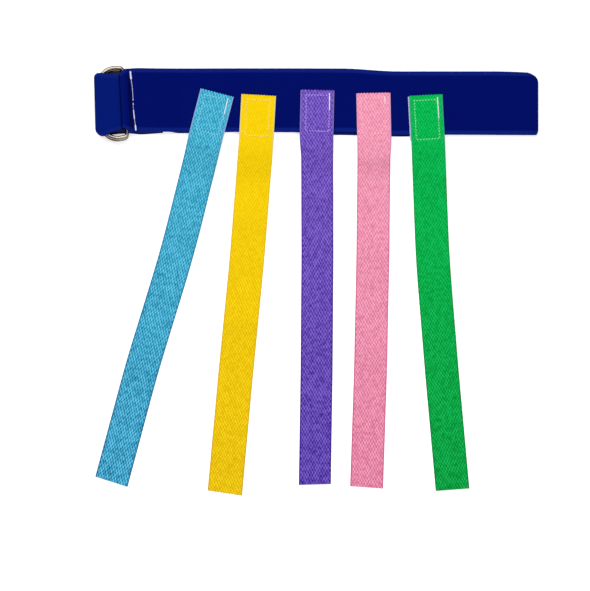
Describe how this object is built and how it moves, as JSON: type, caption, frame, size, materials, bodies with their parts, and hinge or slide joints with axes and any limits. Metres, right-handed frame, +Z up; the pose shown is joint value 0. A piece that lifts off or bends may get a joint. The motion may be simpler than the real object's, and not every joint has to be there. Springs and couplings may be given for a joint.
{
  "type": "tag game waist belt",
  "caption": "Navy hook-and-loop waist belt with a D-ring cinch, lying flat, with coloured webbing tails that pull off its front.",
  "frame": {"origin": "middle of the belt's length and width, on the underside of its back layer, where it rests", "axes": "+X along the belt away from the D-rings, +Y across the belt away from the tails, +Z up out of the belt's front"},
  "size_m": [0.3506, 0.3381, 0.0152],
  "materials": {
    "loop_tape": "navy brushed-loop polyamide tape",
    "hook_tape": "white hook tape",
    "belt_hook_tape": "navy hook tape",
    "thread": "white sewing thread",
    "plated_wire": "nickel-plated steel wire",
    "blue_webbing": "blue polypropylene webbing",
    "yellow_webbing": "yellow polypropylene webbing",
    "purple_webbing": "purple polypropylene webbing",
    "pink_webbing": "pink polypropylene webbing",
    "green_webbing": "green polypropylene webbing"
  },
  "bodies": {
    "belt": {"belt_strap": "loop_tape", "keeper_stitching": "thread"},
    "belt_tongue": {"strap_tongue": "loop_tape", "belt_hook_patch": "belt_hook_tape", "belt_hook_stitching": "thread"},
    "front_ring": {"front_d_ring": "plated_wire"},
    "rear_ring": {"rear_d_ring": "plated_wire"},
    "blue_tail": {"blue_tail_head": "blue_webbing", "blue_hook_patch": "hook_tape", "blue_stitching": "thread"},
    "blue_tail_end": {"blue_streamer": "blue_webbing"},
    "yellow_tail": {"yellow_tail_head": "yellow_webbing", "yellow_hook_patch": "hook_tape", "yellow_stitching": "thread"},
    "yellow_tail_end": {"yellow_streamer": "yellow_webbing"},
    "purple_tail": {"purple_tail_head": "purple_webbing", "purple_hook_patch": "hook_tape", "purple_stitching": "thread"},
    "purple_tail_end": {"purple_streamer": "purple_webbing"},
    "pink_tail": {"pink_tail_head": "pink_webbing", "pink_hook_patch": "hook_tape", "pink_stitching": "thread"},
    "pink_tail_end": {"pink_streamer": "pink_webbing"},
    "green_tail": {"green_tail_head": "green_webbing", "green_hook_patch": "hook_tape", "green_stitching": "thread"},
    "green_tail_end": {"green_streamer": "green_webbing"}
  },
  "joints": [
    {"name": "tongue_peel", "type": "hinge", "parent": "belt", "child": "belt_tongue", "pos_m": [-0.166, 0, 0.00075], "axis": [-0.0262, 0.9997, 0], "range_deg": [0, 100]},
    {"name": "front_ring_swing", "type": "hinge", "parent": "belt", "child": "front_ring", "pos_m": [-0.15078, -0.001, 0.0107], "axis": [-0.0698, 0.9976, 0], "range_deg": [0, 3]},
    {"name": "rear_ring_swing", "type": "hinge", "parent": "belt", "child": "rear_ring", "pos_m": [-0.15067, -0.0026, 0.0075], "axis": [-0.0523, 0.9986, 0], "range_deg": [-8, 0]},
    {"name": "blue_tail_pull", "type": "slide", "parent": "belt", "child": "blue_tail", "axis": [0, 0, 1], "range_m": [0, 0.05]},
    {"name": "blue_tail_bend", "type": "hinge", "parent": "blue_tail", "child": "blue_tail_end", "pos_m": [-0.08768, -0.03037, 0.0067], "axis": [-0.9677, 0.2521, 0], "range_deg": [-60, 90]},
    {"name": "yellow_tail_pull", "type": "slide", "parent": "belt", "child": "yellow_tail", "axis": [0, 0, 1], "range_m": [0, 0.05]},
    {"name": "yellow_tail_bend", "type": "hinge", "parent": "yellow_tail", "child": "yellow_tail_end", "pos_m": [-0.04772, -0.03334, 0.0067], "axis": [-0.9984, 0.0558, 0], "range_deg": [-60, 90]},
    {"name": "purple_tail_pull", "type": "slide", "parent": "belt", "child": "purple_tail", "axis": [0, 0, 1], "range_m": [0, 0.05]},
    {"name": "purple_tail_bend", "type": "hinge", "parent": "purple_tail", "child": "purple_tail_end", "pos_m": [0.0004, -0.02949, 0.0067], "axis": [-0.9998, 0.0209, 0], "range_deg": [-60, 90]},
    {"name": "pink_tail_pull", "type": "slide", "parent": "belt", "child": "pink_tail", "axis": [0, 0, 1], "range_m": [0, 0.05]},
    {"name": "pink_tail_bend", "type": "hinge", "parent": "pink_tail", "child": "pink_tail_end", "pos_m": [0.0454, -0.03179, 0.0067], "axis": [-0.9998, -0.0209, 0], "range_deg": [-60, 90]},
    {"name": "green_tail_pull", "type": "slide", "parent": "belt", "child": "green_tail", "axis": [0, 0, 1], "range_m": [0, 0.05]},
    {"name": "green_tail_bend", "type": "hinge", "parent": "green_tail", "child": "green_tail_end", "pos_m": [0.08809, -0.03335, 0.0067], "axis": [-0.9986, -0.0523, 0], "range_deg": [-60, 90]}
  ]
}
